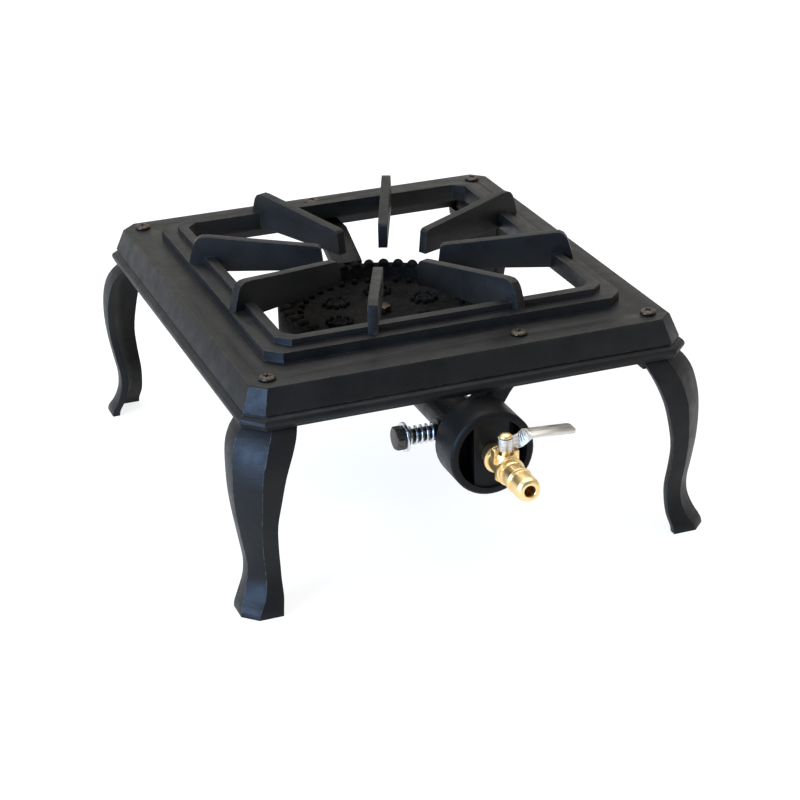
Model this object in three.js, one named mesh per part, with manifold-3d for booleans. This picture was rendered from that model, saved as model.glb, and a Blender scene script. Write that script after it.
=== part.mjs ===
// Single-ring propane burner stand: a cast-iron top frame with integral pot fingers on four
// cabriole legs, carrying a cast burner with a mixing tube, a brass gas valve and an air screw.
// Millimetres, +Z up, floor at z = 0, gas inlet towards -Y.

import * as THREE from 'three';
import { mergeVertices } from 'three/addons/utils/BufferGeometryUtils.js';
import Module from 'manifold-3d';

const wasm = await Module();
wasm.setup();

// ---------------------------------------------------------------- driving dimensions
const GAP = 0.3;                       // clearance left between pieces that touch

const PLATE_TOP = 137;                 // height of the frame's flat top
const PLATE = { halfX: 132.5, halfY: 150, chamfer: 8.5, thick: 5, edgeRound: 0.8 };
const SKIRT = { depth: 14.5, flare: 5, wall: 5 };
const BEAD = { out: 4.7, radius: 3.4, centreDepth: 19.6, bottomDepth: 23, flat: 1.2 };
const STEP_1 = { halfX: 113.5, halfY: 120, chamfer: 9, height: 6.3 };
const STEP_2 = { halfX: 104.5, halfY: 111.5, chamfer: 8, height: 10.3 };
const OPENING = { halfX: 98.5, halfY: 105, chamfer: 6.5, lip: 0.4 };

const FINGER = {
  count: 8,
  firstAngle: 22.5,
  thick: 6,
  tipRadius: 36.2,
  underside: 0.4,
  tipHeight: 15.3,
  midRadius: 85,
  midHeight: 20.8,
  crestHeight: 23.5,
  heelShift: 1.5,
  heelFollow: 0.28,
};

const LEG_SCREW = { x: 120, y: 137.5 };
const FRONT_LUG_SCREW = { x: 36.5, y: -135 };
const BACK_LUG_SCREW = { x: 1, y: 139.5 };
const M5 = { radius: 2.5, hole: 2.8, headRadius: 5, headHeight: 2.4, nutFlats: 8, nutHeight: 4 };

// Outer faces of a leg measured outwards from the plate edge, from hip to toe.
const LEG_STATIONS = [
  { height: 113.7, out: 5, chamfer: 13.6, width: 28.5 },
  { height: 108, out: 9.9, chamfer: 15.2, width: 31 },
  { height: 100, out: 13.6, chamfer: 15.6, width: 31.1 },
  { height: 87, out: 15.5, chamfer: 13.9, width: 28 },
  { height: 72, out: 15.7, chamfer: 13, width: 24.7 },
  { height: 57, out: 14.2, chamfer: 11, width: 20.7 },
  { height: 42, out: 11.7, chamfer: 9.1, width: 18.6 },
  { height: 30, out: 9.7, chamfer: 8.1, width: 17.6 },
  { height: 20, out: 10.3, chamfer: 9, width: 18.4 },
  { height: 11, out: 13.3, chamfer: 10.1, width: 21.3 },
  { height: 4, out: 16.6, chamfer: 9.1, width: 23.2 },
  { height: 0, out: 17.3, chamfer: 8.6, width: 23.5 },
];
const LEG = { wall: 5, padThick: 5, bossSize: 17, stepsPerStation: 3 };

const TUBE = { axisHeight: 85.6, radius: 13.7, bore: 10.5 };
const BELL = { front: -180.6, back: -154, radius: 26, inner: 21.6, floor: 8.4 };
const BRIDGE = { halfWidth: 11, front: -178.8, thick: 6 };

const BOWL = { radius: 67, inner: 62, top: 97, bottom: 71.5, floor: 76, floorRadius: 45 };
const HEAD = {
  ringInner: 59,
  split: 97,
  shoulder: 116,
  toothTop: 119,
  teeth: 42,
  plateBottom: 104,
  plateTop: 107.5,
  studs: 30,
  studCircle: 52.5,
  rosettes: 6,
  rosetteCircle: 33,
};

const AIR = {
  y: -139, z: 85.8, bossEnd: -18.5, bossRadius: 7.5, shank: 4, shankTip: -12,
  washerFace: -38, washerThick: 1.7, washerRadius: 9, headFlats: 13, headThick: 5.3,
};
const SPRING = { wire: 0.8, radius: 5.1, turns: 5 };

const VALVE = {
  stemY: -199, neckRadius: 6.6, flangeRadius: 8.5, bodyRadius: 6.9, flange1: -186,
  flange2: -206.7, flangeThick: 2, spigot: 5, spigotEnd: -172, bore: 2.4,
  housingRadius: 6.4, housingTop: 94.2, housingBottom: 78.6, plugRadius: 4.4,
};
const LEVER = { tip: 42, hubRadius: 4.4, hubBottom: 96.8, hubTop: 104, thick: 1.8 };
const NOSE_END = -233.4;

// The frame's centre sits behind the origin, so the origin is the middle of the whole stand.
const FOOT_REACH = PLATE.halfY + LEG_STATIONS.at(-1).out;
const FRAME_CENTRE_Y = (-NOSE_END - FOOT_REACH) / 2;

const COLOURS = {
  iron: 0x2b2c2c,
  brass: 0xd0a24a,
  zinc: 0xb8bcc0,
  nickel: 0xb9b4a8,
  antique: 0x6a6050,
};

// ---------------------------------------------------------------- solids
function toSolid(geometry) {
  const plain = geometry.clone();
  plain.deleteAttribute('normal');
  plain.deleteAttribute('uv');
  const merged = mergeVertices(plain, 1e-4);
  const corners = Array.from(merged.index.array);
  const kept = [];
  for (let i = 0; i < corners.length; i += 3) {
    const [a, b, c] = corners.slice(i, i + 3);
    if (a !== b && b !== c && c !== a) kept.push(a, b, c);
  }
  return new wasm.Manifold(new wasm.Mesh({
    numProp: 3,
    vertProperties: new Float32Array(merged.attributes.position.array),
    triVerts: new Uint32Array(kept),
  }));
}

function union(solids) {
  return solids.reduce((total, next) => total.add(next));
}

function cut(solid, tools) {
  return tools.reduce((left, tool) => left.subtract(tool), solid);
}

function toGeometry(solid) {
  const mesh = solid.getMesh();
  const stride = mesh.numProp;
  const positions = [];
  for (let i = 0; i < mesh.vertProperties.length; i += stride) {
    positions.push(...mesh.vertProperties.slice(i, i + 3));
  }
  const geometry = new THREE.BufferGeometry();
  geometry.setAttribute('position', new THREE.Float32BufferAttribute(positions, 3));
  geometry.setIndex(Array.from(mesh.triVerts));
  geometry.computeVertexNormals();
  return geometry;
}

function signedVolume(positions, indices) {
  const [a, b, c] = [new THREE.Vector3(), new THREE.Vector3(), new THREE.Vector3()];
  let total = 0;
  for (let i = 0; i < indices.length; i += 3) {
    a.fromArray(positions, indices[i] * 3);
    b.fromArray(positions, indices[i + 1] * 3);
    c.fromArray(positions, indices[i + 2] * 3);
    total += a.dot(b.clone().cross(c)) / 6;
  }
  return total;
}

// Skins a stack of outlines. Each section has 2-D points and a function that places them.
function loft(sections) {
  const count = sections[0].points.length;
  if (THREE.ShapeUtils.area(sections[0].points) < 0) {
    for (const section of sections) section.points = [...section.points].reverse();
  }
  const positions = [];
  const indices = [];
  for (const section of sections) {
    for (const point of section.points) positions.push(...section.place(point).toArray());
  }
  for (let level = 0; level < sections.length - 1; level += 1) {
    for (let i = 0; i < count; i += 1) {
      const a = level * count + i;
      const b = level * count + ((i + 1) % count);
      indices.push(a, b, b + count, a, b + count, a + count);
    }
  }
  const last = (sections.length - 1) * count;
  for (const [a, b, c] of THREE.ShapeUtils.triangulateShape(sections[0].points, [])) {
    indices.push(c, b, a);
  }
  for (const [a, b, c] of THREE.ShapeUtils.triangulateShape(sections.at(-1).points, [])) {
    indices.push(last + a, last + b, last + c);
  }
  if (signedVolume(positions, indices) < 0) indices.reverse();
  const geometry = new THREE.BufferGeometry();
  geometry.setAttribute('position', new THREE.Float32BufferAttribute(positions, 3));
  geometry.setIndex(indices);
  return toSolid(geometry);
}

function atHeight(z) {
  return (point) => new THREE.Vector3(point.x, point.y, z);
}

function octagon(halfX, halfY, chamfer) {
  const corner = [
    [halfX, -halfY + chamfer], [halfX, halfY - chamfer], [halfX - chamfer, halfY],
    [-halfX + chamfer, halfY], [-halfX, halfY - chamfer], [-halfX, -halfY + chamfer],
    [-halfX + chamfer, -halfY], [halfX - chamfer, -halfY],
  ];
  return corner.map(([x, y]) => new THREE.Vector2(x, y));
}

function octagonPrism(size, bottom, top) {
  const points = octagon(size.halfX, size.halfY, size.chamfer);
  const level = (z) => ({ points, place: atHeight(z) });
  return loft([level(bottom), level(top)]);
}

// A turned piece about +Z; the profile lists [radius, height] pairs.
function turned(profile, segments = 32) {
  const points = profile.map(([radius, height]) => new THREE.Vector2(radius, height));
  points.push(points[0].clone());
  const area = THREE.ShapeUtils.area(points.slice(0, -1));
  if (area < 0) points.reverse();
  const geometry = new THREE.LatheGeometry(points, segments);
  geometry.rotateX(Math.PI / 2);
  const solid = toSolid(geometry);
  return solid.volume() < 0 ? toSolid(flipped(geometry)) : solid;
}

function flipped(geometry) {
  const result = geometry.clone();
  result.setIndex(Array.from(result.index.array).reverse());
  return result;
}

// The same, about the Y axis: the profile lists [radius, y] pairs.
function turnedAlongY(profile, x, z, segments = 32) {
  return turned(profile.map(([radius, y]) => [radius, -y]), segments)
    .rotate([90, 0, 0])
    .translate([x, 0, z]);
}

// The same, about the X axis: the profile lists [radius, x] pairs.
function turnedAlongX(profile, y, z, segments = 24) {
  return turned(profile, segments).rotate([0, 90, 0]).translate([0, y, z]);
}

function rod(radius, bottom, top, segments = 20) {
  return turned([[0, bottom], [radius, bottom], [radius, top], [0, top]], segments);
}

function rodAlongY(radius, from, to, x, z, segments = 32) {
  return turnedAlongY([[0, from], [radius, from], [radius, to], [0, to]], x, z, segments);
}

function rodAlongX(radius, from, to, y, z, segments = 24) {
  return turnedAlongX([[0, from], [radius, from], [radius, to], [0, to]], y, z, segments);
}

function block(low, high) {
  const size = high.map((value, i) => value - low[i]);
  const geometry = new THREE.BoxGeometry(...size);
  geometry.translate(...high.map((value, i) => (value + low[i]) / 2));
  return toSolid(geometry);
}

// A flat plate cut to an outline of [a, b] pairs and thickened about its own middle plane.
function plate(outline, thick, place) {
  const points = outline.map(([a, b]) => new THREE.Vector2(a, b));
  const side = (offset) => ({ points, place: (point) => place(point.x, point.y, offset) });
  return loft([side(-thick / 2), side(thick / 2)]);
}

function ring(count, make) {
  return Array.from({ length: count }, (_, i) => make((i / count) * 360, i));
}

const stand = new THREE.Group();
stand.name = 'propane_burner_stand';

function addPiece(name, solid, colour) {
  const metal = new THREE.MeshStandardMaterial({ color: colour, metalness: 0.6, roughness: 0.6 });
  metal.name = name;
  const mesh = new THREE.Mesh(toGeometry(solid), metal);
  mesh.name = name;
  stand.add(mesh);
}

// ---------------------------------------------------------------- top frame
function frameOutside() {
  const outline = (depth, out, chamfer) => ({
    points: octagon(PLATE.halfX + out, PLATE.halfY + out, chamfer),
    place: atHeight(PLATE_TOP - depth),
  });
  const sections = [
    outline(0, -PLATE.edgeRound, PLATE.chamfer),
    outline(PLATE.edgeRound, 0, PLATE.chamfer),
    outline(SKIRT.depth, SKIRT.flare, PLATE.chamfer + 1.6),
    outline(SKIRT.depth + 0.7, SKIRT.flare - 0.9, PLATE.chamfer + 1.6),
  ];
  for (let angle = 75; angle >= -45; angle -= 20) {
    const radians = THREE.MathUtils.degToRad(angle);
    const depth = BEAD.centreDepth - BEAD.radius * Math.sin(radians);
    const out = BEAD.out + BEAD.radius * Math.cos(radians);
    sections.push(outline(depth, out, PLATE.chamfer + 3));
  }
  sections.push(outline(BEAD.bottomDepth, BEAD.out + BEAD.radius - BEAD.flat, PLATE.chamfer + 3));
  return loft(sections.reverse());
}

function frameUnderside() {
  const outline = (depth, out) => ({
    points: octagon(PLATE.halfX + out, PLATE.halfY + out, PLATE.chamfer),
    place: atHeight(PLATE_TOP - depth),
  });
  return loft([outline(BEAD.bottomDepth + 1, 1.2), outline(PLATE.thick, -3.4)]);
}

// One pot finger seen from the side: [distance from the centre, height above the plate].
function fingerOutline(wallRadius) {
  const outer = FINGER.heelShift + (wallRadius - 106.6) * FINGER.heelFollow;
  return [
    [FINGER.tipRadius, FINGER.underside],
    [wallRadius + 2, FINGER.underside],
    [wallRadius + 2, 3],
    [120 + outer, 3],
    [120.4 + outer, STEP_1.height],
    [119.4 + outer, 11],
    [117.8 + outer, 16.4],
    [116.6 + outer, 19.6],
    [114.6 + outer, 22.2],
    [111.8 + outer, FINGER.crestHeight],
    [107.6 + outer, FINGER.crestHeight],
    [FINGER.midRadius, FINGER.midHeight],
    [FINGER.tipRadius + 6, FINGER.tipHeight + 1.2],
    [FINGER.tipRadius + 3.4, FINGER.tipHeight + 0.8],
    [FINGER.tipRadius + 1.8, FINGER.tipHeight - 0.6],
  ];
}

function finger(angle) {
  const radians = THREE.MathUtils.degToRad(angle);
  const towards = new THREE.Vector3(Math.cos(radians), Math.sin(radians), 0);
  const across = new THREE.Vector3(-towards.y, towards.x, 0);
  const wallRadius = Math.min(
    OPENING.halfX / Math.abs(towards.x),
    OPENING.halfY / Math.abs(towards.y),
  );
  return plate(fingerOutline(wallRadius), FINGER.thick, (distance, height, offset) => (
    towards.clone().multiplyScalar(distance)
      .addScaledVector(across, offset)
      .setZ(PLATE_TOP + height)
  ));
}

function topFrame() {
  const tread = { halfX: 108, halfY: 115, chamfer: 8 };
  const walls = union([
    cut(frameOutside(), [frameUnderside()]),
    octagonPrism(STEP_1, PLATE_TOP - 1, PLATE_TOP + STEP_1.height),
    octagonPrism(STEP_2, PLATE_TOP + 1, PLATE_TOP + STEP_2.height),
  ]);
  const open = cut(walls, [
    octagonPrism(OPENING, PLATE_TOP - 20, PLATE_TOP + 20),
    octagonPrism(tread, PLATE_TOP - 20, PLATE_TOP - OPENING.lip),
  ]);
  const fingers = ring(FINGER.count, (angle) => finger(angle + FINGER.firstAngle));
  const holes = [];
  for (const x of [-LEG_SCREW.x, LEG_SCREW.x]) {
    for (const y of [-LEG_SCREW.y, LEG_SCREW.y]) {
      holes.push(rod(M5.hole, 100, 150).translate([x, y, 0]));
    }
  }
  for (const spot of [FRONT_LUG_SCREW, BACK_LUG_SCREW]) {
    holes.push(rod(M5.hole, 100, 150).translate([spot.x, spot.y, 0]));
  }
  return cut(union([open, ...fingers]), holes);
}

addPiece('top_frame', topFrame(), COLOURS.iron);

// ---------------------------------------------------------------- legs
function legSection(station) {
  const x = PLATE.halfX + station.out;
  const y = PLATE.halfY + station.out;
  const { chamfer, width } = station;
  const inset = chamfer + LEG.wall * (Math.SQRT2 - 1);
  const outline = [
    [x, y - width], [x, y - chamfer], [x - chamfer, y], [x - width, y],
    [x - width, y - LEG.wall], [x - inset, y - LEG.wall],
    [x - LEG.wall, y - inset], [x - LEG.wall, y - width],
  ];
  return {
    points: outline.map(([a, b]) => new THREE.Vector2(a, b)),
    place: atHeight(station.height),
  };
}

function legStations() {
  const outs = new THREE.CatmullRomCurve3(
    LEG_STATIONS.map((s) => new THREE.Vector3(s.out, s.chamfer, s.height)), false, 'catmullrom', 0.5,
  );
  const widths = new THREE.CatmullRomCurve3(
    LEG_STATIONS.map((s) => new THREE.Vector3(s.width, 0, s.height)), false, 'catmullrom', 0.5,
  );
  const steps = (LEG_STATIONS.length - 1) * LEG.stepsPerStation;
  return Array.from({ length: steps + 1 }, (_, i) => {
    const side = outs.getPoint(i / steps);
    const breadth = widths.getPoint(i / steps);
    return { height: side.z, out: side.x, chamfer: side.y, width: breadth.x };
  });
}

// The leg at +X, +Y. Its pad closes the hollow under the skirt and a boss rises to the plate.
function leg() {
  const hip = LEG_STATIONS[0];
  const post = loft(legStations().reverse().map(legSection));
  const x = PLATE.halfX + hip.out - 1;
  const y = PLATE.halfY + hip.out - 1;
  const padTop = hip.height;
  const corner = [
    [x, y - hip.chamfer], [x - hip.chamfer, y], [x - hip.width + 1, y],
    [x - hip.width + 1, y - hip.width + 1], [x, y - hip.width + 1],
  ];
  const pad = plate(corner, LEG.padThick, (a, b, offset) => (
    new THREE.Vector3(a, b, padTop - LEG.padThick / 2 + offset)
  ));
  const half = LEG.bossSize / 2;
  const trim = 8.4;
  const bossTop = PLATE_TOP - PLATE.thick - GAP;
  const bossHeight = bossTop - padTop + 1;
  const bossOutline = [
    [-half, -half], [half, -half], [half, half - trim], [half - trim, half], [-half, half],
  ];
  const boss = plate(bossOutline, bossHeight, (a, b, offset) => (
    new THREE.Vector3(LEG_SCREW.x + a, LEG_SCREW.y + b, bossTop - bossHeight / 2 + offset)
  ));
  const hole = rod(M5.hole, 90, 150).translate([LEG_SCREW.x, LEG_SCREW.y, 0]);
  return cut(union([post, pad, boss]), [hole]);
}

function hexNut(flats, height, hole) {
  const prism = turned(
    [[0, 0], [flats / Math.sqrt(3), 0], [flats / Math.sqrt(3), height], [0, height]], 6,
  );
  const cone = turned([
    [0, 0], [flats * 0.52, 0], [flats * 0.6, flats * 0.07],
    [flats * 0.6, height - flats * 0.07], [flats * 0.52, height], [0, height],
  ], 24);
  return cut(prism.intersect(cone), [rod(hole, -1, height + 1, 16)]);
}

function panHeadScrew(reach) {
  const { radius, headRadius, headHeight } = M5;
  const solid = turned([
    [0, -reach], [radius - 0.6, -reach], [radius, 0.6 - reach], [radius, GAP],
    [headRadius, GAP], [headRadius, headHeight * 0.45], [headRadius * 0.86, headHeight * 0.78],
    [headRadius * 0.55, headHeight * 0.96], [0, headHeight],
  ], 20);
  const arm = 2.6;
  const slot = 0.55;
  const floor = headHeight - 1.5;
  const cross = [
    block([-arm, -slot, floor], [arm, slot, headHeight + 1]),
    block([-slot, -arm, floor], [slot, arm, headHeight + 1]),
  ];
  return cut(solid, cross);
}

const CORNERS = [
  { name: 'front_left', x: -1, y: -1 },
  { name: 'front_right', x: 1, y: -1 },
  { name: 'back_left', x: -1, y: 1 },
  { name: 'back_right', x: 1, y: 1 },
];
const padUnderside = LEG_STATIONS[0].height - LEG.padThick;
for (const corner of CORNERS) {
  const spot = [LEG_SCREW.x * corner.x, LEG_SCREW.y * corner.y];
  let piece = leg();
  if (corner.x < 0) piece = piece.mirror([1, 0, 0]);
  if (corner.y < 0) piece = piece.mirror([0, 1, 0]);
  addPiece(`leg_${corner.name}`, piece, COLOURS.iron);

  const screw = panHeadScrew(PLATE_TOP - padUnderside + M5.nutHeight + 2);
  addPiece(`leg_screw_${corner.name}`, screw.translate([...spot, PLATE_TOP]), COLOURS.antique);

  const nut = hexNut(M5.nutFlats, M5.nutHeight, M5.hole).rotate([0, 0, 30]);
  const nutBottom = padUnderside - GAP - M5.nutHeight;
  addPiece(`leg_nut_${corner.name}`, nut.translate([...spot, nutBottom]), COLOURS.zinc);
}

// ---------------------------------------------------------------- burner body
function burnerBowl() {
  return turned([
    [0, BOWL.bottom], [BOWL.floorRadius, BOWL.bottom], [BOWL.radius, BOWL.top - 9],
    [BOWL.radius, BOWL.top], [0, BOWL.top],
  ], 64);
}

function bowlHollow() {
  return turned([
    [0, BOWL.floor], [BOWL.floorRadius - 2, BOWL.floor], [BOWL.inner, BOWL.top - 7],
    [BOWL.inner, BOWL.top + 1], [0, BOWL.top + 1],
  ], 64);
}

function bell() {
  const { front, back, radius } = BELL;
  return turnedAlongY([
    [0, front], [radius - 1.2, front], [radius, front + 1.2], [radius, back - 1.8],
    [radius - 0.6, back - 0.6], [radius - 2, back], [0, back],
  ], 0, TUBE.axisHeight, 40);
}

// Ramps up from the back of the bowl to lie under the frame: [y, depth below the plate top].
function backArm() {
  const under = PLATE.thick + GAP;
  const thick = 6;
  const clear = BOWL.radius + 2 * GAP;
  const outline = [
    [60, 47], [60, 41], [clear, 41], [clear, 19.5], [clear + 3, 18], [97, under], [146, under],
    [146, under + thick], [99, under + thick], [75, 22.5], [73, 28], [72, 47],
  ];
  return plate(outline, 20, (y, depth, offset) => (
    new THREE.Vector3(BACK_LUG_SCREW.x + offset, y, PLATE_TOP - depth)
  ));
}

// Rises from the right of the mixing tube to the frame: [x, depth below the plate top].
function frontLug() {
  const under = PLATE.thick + GAP;
  const outline = [
    [2, 44], [18, 49.5], [23, 41.3], [27.8, 33.5], [41.5, 16], [45.5, 12], [45.5, under],
    [26, under], [26, 12], [22, 20], [10, 36], [2, 40],
  ];
  return plate(outline, 13, (x, depth, offset) => (
    new THREE.Vector3(x, FRONT_LUG_SCREW.y + offset, PLATE_TOP - depth)
  ));
}

function burnerBody() {
  const axis = TUBE.axisHeight;
  const bridgeBack = BRIDGE.front + BRIDGE.thick;
  const bridge = block(
    [-BRIDGE.halfWidth, BRIDGE.front, axis - BELL.inner - 1],
    [BRIDGE.halfWidth, bridgeBack, axis + BELL.inner + 1],
  );
  const hollowBell = cut(bell(), [
    rodAlongY(BELL.inner, BELL.front - 1, BELL.back - BELL.floor, 0, axis, 40),
  ]);
  const outside = union([
    burnerBowl(),
    rodAlongY(TUBE.radius, BELL.back - 1, -40, 0, axis),
    rodAlongX(AIR.bossRadius, AIR.bossEnd, -8, AIR.y, AIR.z),
    backArm(),
    frontLug(),
  ]);
  const hollowed = cut(outside, [
    bowlHollow(),
    rod(BOWL.radius + GAP, BOWL.top, PLATE_TOP, 64),
    rodAlongY(TUBE.bore, BELL.back - 10, -30, 0, axis),
  ]);
  const boss = rod(7, BOWL.floor - 1, HEAD.plateBottom - GAP);
  const joined = union([hollowed, hollowBell, bridge, boss]);
  return cut(joined, [
    rodAlongY(TUBE.bore, BELL.back - 5, BELL.back + 20, 0, axis),
    rodAlongY(VALVE.spigot + GAP, BRIDGE.front - 2, bridgeBack + 2, 0, axis, 24),
    rodAlongX(AIR.shank + GAP, AIR.bossEnd - 1, -5, AIR.y, AIR.z),
    rod(3.3, HEAD.plateBottom - 18, HEAD.plateBottom + 2),
    rod(M5.hole, PLATE_TOP - 20, PLATE_TOP).translate([FRONT_LUG_SCREW.x, FRONT_LUG_SCREW.y, 0]),
    rod(M5.hole, PLATE_TOP - 20, PLATE_TOP).translate([BACK_LUG_SCREW.x, BACK_LUG_SCREW.y, 0]),
  ]);
}

addPiece('burner_body', burnerBody(), COLOURS.iron);

const lugScrew = panHeadScrew(19);
for (const [name, spot] of [['front', FRONT_LUG_SCREW], ['back', BACK_LUG_SCREW]]) {
  const placed = lugScrew.translate([spot.x, spot.y, PLATE_TOP]);
  addPiece(`burner_screw_${name}`, placed, COLOURS.antique);
}

// ---------------------------------------------------------------- burner head
function burnerHead() {
  const spigot = BOWL.inner - GAP;
  const casting = turned([
    [0, HEAD.plateBottom], [spigot - 3.5, HEAD.plateBottom], [spigot - 3.5, HEAD.split - 3],
    [spigot, HEAD.split - 3], [spigot, HEAD.split + GAP], [BOWL.radius, HEAD.split + GAP],
    [BOWL.radius, HEAD.shoulder], [HEAD.ringInner, HEAD.shoulder],
    [HEAD.ringInner, HEAD.plateTop], [0, HEAD.plateTop],
  ], 84);
  const toothRadius = 3.2;
  const toothLength = BOWL.radius - HEAD.ringInner - 0.4;
  const toothMiddle = (BOWL.radius + HEAD.ringInner) / 2;
  const teeth = ring(HEAD.teeth, (angle) => (
    rodAlongX(toothRadius, -toothLength / 2, toothLength / 2, 0, 0, 10)
      .translate([toothMiddle, 0, HEAD.toothTop - toothRadius])
      .rotate([0, 0, angle])
  ));
  const studs = ring(HEAD.studs, (angle) => (
    rod(2.3, HEAD.plateTop - 1, HEAD.plateTop + 4, 6)
      .translate([HEAD.studCircle, 0, 0])
      .rotate([0, 0, angle])
  ));
  const rosettes = ring(HEAD.rosettes, (angle) => (
    rod(7, HEAD.plateTop - 1, HEAD.plateTop + 3.5, 16)
      .translate([HEAD.rosetteCircle, 0, 0])
      .rotate([0, 0, angle + 15])
  ));
  const ports = ring(HEAD.rosettes, (angle) => (
    rod(4, HEAD.plateBottom - 1, HEAD.plateTop + 5, 14)
      .translate([HEAD.rosetteCircle, 0, 0])
      .rotate([0, 0, angle + 15])
  ));
  const centreHole = rod(3.3, HEAD.plateBottom - 1, HEAD.plateTop + 1);
  return cut(union([casting, ...teeth, ...studs, ...rosettes]), [...ports, centreHole]);
}

function hexScrew(flats, headHeight, radius, reach) {
  const prism = turned(
    [[0, 0], [flats / Math.sqrt(3), 0], [flats / Math.sqrt(3), headHeight], [0, headHeight]], 6,
  );
  const dome = turned([
    [0, 0], [flats * 0.6, 0], [flats * 0.6, headHeight - flats * 0.08],
    [flats * 0.5, headHeight], [0, headHeight],
  ], 24);
  const shank = turned([
    [0, -reach], [radius - 0.8, -reach], [radius, 0.8 - reach], [radius, 0.5], [0, 0.5],
  ], 20);
  return union([prism.intersect(dome), shank]);
}

addPiece('burner_head', burnerHead(), COLOURS.iron);
const headScrew = hexScrew(10, 4, 3, 14).translate([0, 0, HEAD.plateTop + GAP]);
addPiece('burner_head_screw', headScrew, COLOURS.antique);

// ---------------------------------------------------------------- air screw
class Helix extends THREE.Curve {
  constructor(radius, from, to, turns) {
    super();
    Object.assign(this, { radius, from, to, turns });
  }

  getPoint(t) {
    const angle = t * this.turns * 2 * Math.PI;
    const x = THREE.MathUtils.lerp(this.from, this.to, t);
    return new THREE.Vector3(x, Math.cos(angle) * this.radius, Math.sin(angle) * this.radius);
  }
}

function airSpring() {
  const wire = new THREE.Shape();
  wire.absarc(0, 0, SPRING.wire, 0, 2 * Math.PI);
  const end = SPRING.wire + GAP;
  const path = new Helix(SPRING.radius, AIR.washerFace + end, AIR.bossEnd - end, SPRING.turns);
  const geometry = new THREE.ExtrudeGeometry(wire, {
    curveSegments: 4, steps: 90, bevelEnabled: false, extrudePath: path,
  });
  return toSolid(geometry).translate([0, AIR.y, AIR.z]);
}

const washerBack = AIR.washerFace - AIR.washerThick;
const headFace = washerBack - GAP;
const airScrew = hexScrew(AIR.headFlats, AIR.headThick, AIR.shank, AIR.shankTip - headFace)
  .rotate([0, 0, 10])
  .rotate([0, -90, 0])
  .translate([headFace, AIR.y, AIR.z]);
addPiece('air_screw', airScrew, COLOURS.zinc);

const washer = turnedAlongX([
  [AIR.shank + GAP, washerBack], [AIR.washerRadius, washerBack],
  [AIR.washerRadius, AIR.washerFace], [AIR.shank + GAP, AIR.washerFace],
], AIR.y, AIR.z, 32);
addPiece('air_screw_washer', washer, COLOURS.zinc);
addPiece('air_screw_spring', airSpring(), COLOURS.zinc);

// ---------------------------------------------------------------- gas valve
function valveBody() {
  const axis = TUBE.axisHeight;
  const v = VALVE;
  const barrel = turnedAlongY([
    [0, v.spigotEnd], [v.spigot - 0.6, v.spigotEnd], [v.spigot, v.spigotEnd - 0.6],
    [v.spigot, BRIDGE.front - GAP], [v.neckRadius, BRIDGE.front - GAP],
    [v.neckRadius, v.flange1], [v.flangeRadius, v.flange1 - 0.3],
    [v.flangeRadius, v.flange1 - v.flangeThick], [v.bodyRadius, v.flange1 - v.flangeThick - 0.6],
    [v.bodyRadius, v.flange2 + v.flangeThick + 0.6], [v.flangeRadius, v.flange2 + v.flangeThick],
    [v.flangeRadius, v.flange2], [0, v.flange2],
  ], 0, axis, 28);
  const housing = turned([
    [0, v.housingBottom], [v.housingRadius, v.housingBottom], [v.housingRadius, axis + 4],
    [v.housingRadius - 1, v.housingTop - 1], [v.housingRadius - 1.6, v.housingTop],
    [0, v.housingTop],
  ], 24).translate([0, v.stemY, 0]);
  const ears = [
    block([-7.4, v.stemY - 0.8, axis + 3], [-3.4, v.stemY + 3.6, axis + 11.4]),
    block([3.2, v.stemY - 3.4, axis + 3], [6.8, v.stemY + 1, axis + 10.6]),
  ];
  const stemClear = rod(LEVER.hubRadius + 0.5, v.housingTop, axis + 20).translate([0, v.stemY, 0]);
  const shaped = cut(union([barrel, housing, ...ears]), [stemClear]);
  const plugBore = turned([
    [0, v.housingBottom - 1], [v.plugRadius + GAP, v.housingBottom - 1],
    [v.plugRadius + GAP, axis + 5], [3 + GAP, axis + 6.5], [3 + GAP, v.housingTop + 1],
    [0, v.housingTop + 1],
  ], 20).translate([0, v.stemY, 0]);
  return cut(shaped, [
    plugBore,
    rodAlongY(v.bore, v.flange2 - 1, v.spigotEnd + 1, 0, axis, 16),
    rodAlongY(3 + GAP, v.spigotEnd - 9, v.spigotEnd + 1, 0, axis, 16),
    rodAlongY(4 + GAP, v.flange2 - 1, v.flange2 + 1.8, 0, axis, 16),
  ]);
}

function valvePlug() {
  const axis = TUBE.axisHeight;
  const v = VALVE;
  const head = LEVER.hubTop + GAP;
  const solid = turned([
    [0, v.housingBottom + 2.8], [v.plugRadius - 0.4, v.housingBottom + 2.8],
    [v.plugRadius, v.housingBottom + 3.4], [v.plugRadius, axis + 4.6], [3, axis + 6],
    [3, head], [3.9, head], [3.9, head + 0.8], [3, head + 1.7], [1.6, head + 2.2],
    [0, head + 2.3],
  ], 20);
  return cut(solid, [rodAlongX(v.bore, -10, 10, 0, axis, 16)]).translate([0, v.stemY, 0]);
}

function plugCap() {
  const bottom = VALVE.housingBottom;
  const solid = turned([
    [0, bottom + 0.1], [VALVE.plugRadius, bottom + 0.1], [VALVE.plugRadius, bottom + 2.4],
    [0, bottom + 2.4],
  ], 20);
  const slot = block([-3, -0.5, bottom - 1], [3, 0.5, bottom + 1]);
  return cut(solid, [slot]).translate([0, VALVE.stemY, 0]);
}

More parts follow.
